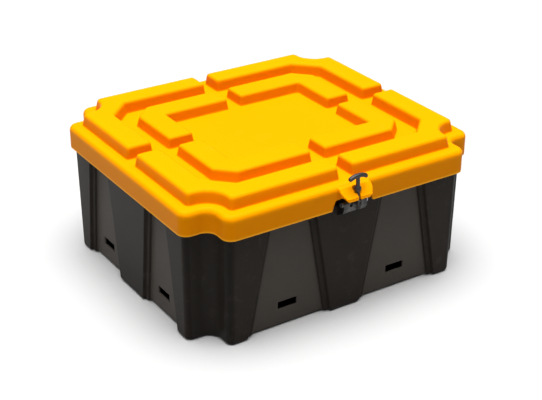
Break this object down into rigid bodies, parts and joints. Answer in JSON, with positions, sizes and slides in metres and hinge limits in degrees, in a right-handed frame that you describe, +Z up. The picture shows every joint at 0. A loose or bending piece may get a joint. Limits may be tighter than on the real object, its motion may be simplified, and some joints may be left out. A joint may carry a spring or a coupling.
{
  "type": "toolbox with tray",
  "caption": "Rectangular lidded toolbox with scalloped corners, ribbed lid, rubber T-latch, rear hinges and a sliding inner tray with a folding handle.",
  "frame": {"origin": "middle of the tub's flat underside, on the floor", "axes": "+Z up; -Y to the front, where the latch is; +X along the long side"},
  "size_m": [0.6, 0.571, 0.273],
  "materials": {
    "black_plastic": "semi-matte moulded, fine grain",
    "yellow_plastic": "satin moulded",
    "tray_plastic": "moulded",
    "rubber": "matt moulded rubber",
    "steel": "zinc plated"
  },
  "bodies": {
    "tub": {"base_tub": "black_plastic", "hinge_bracket_left": "steel", "hinge_bracket_right": "steel", "hinge_pins": "steel", "hinge_bracket_bolts": "steel", "hinge_backing_plates": "steel", "latch_bracket": "black_plastic", "latch_pin": "steel", "latch_pin_clip": "steel", "latch_bracket_bolts": "steel", "latch_backing_plate": "steel", "tray_rail_front": "steel", "tray_rail_rear": "steel", "tray_rail_rivets": "steel"},
    "lid": {"lid": "yellow_plastic", "hinge_leaf_left": "steel", "hinge_leaf_right": "steel", "hinge_leaf_bolts": "steel", "leaf_backing_plates": "steel"},
    "latch": {"rubber_latch": "rubber"},
    "tray": {"tray_bin": "tray_plastic", "tray_dividers": "tray_plastic", "tray_pivots": "steel"},
    "handle": {"tray_handle": "steel", "tray_grip": "rubber"}
  },
  "joints": [
    {"name": "lid_hinge", "type": "hinge", "parent": "tub", "child": "lid", "pos_m": [0, 0.276, 0.2005], "axis": [-1, 0, 0], "range_deg": [0, 105]},
    {"name": "latch_swing", "type": "hinge", "parent": "tub", "child": "latch", "pos_m": [0, -0.27, 0.2145], "axis": [1, 0, 0], "range_deg": [0, 110], "deforming": ["rubber_latch"]},
    {"name": "tray_slide", "type": "slide", "parent": "tub", "child": "tray", "axis": [1, 0, 0], "range_m": [0, 0.214]},
    {"name": "tray_handle_fold", "type": "hinge", "parent": "tray", "child": "handle", "pos_m": [-0.107, 0, 0.14429], "axis": [0, -1, 0], "range_deg": [0, 180]}
  ]
}
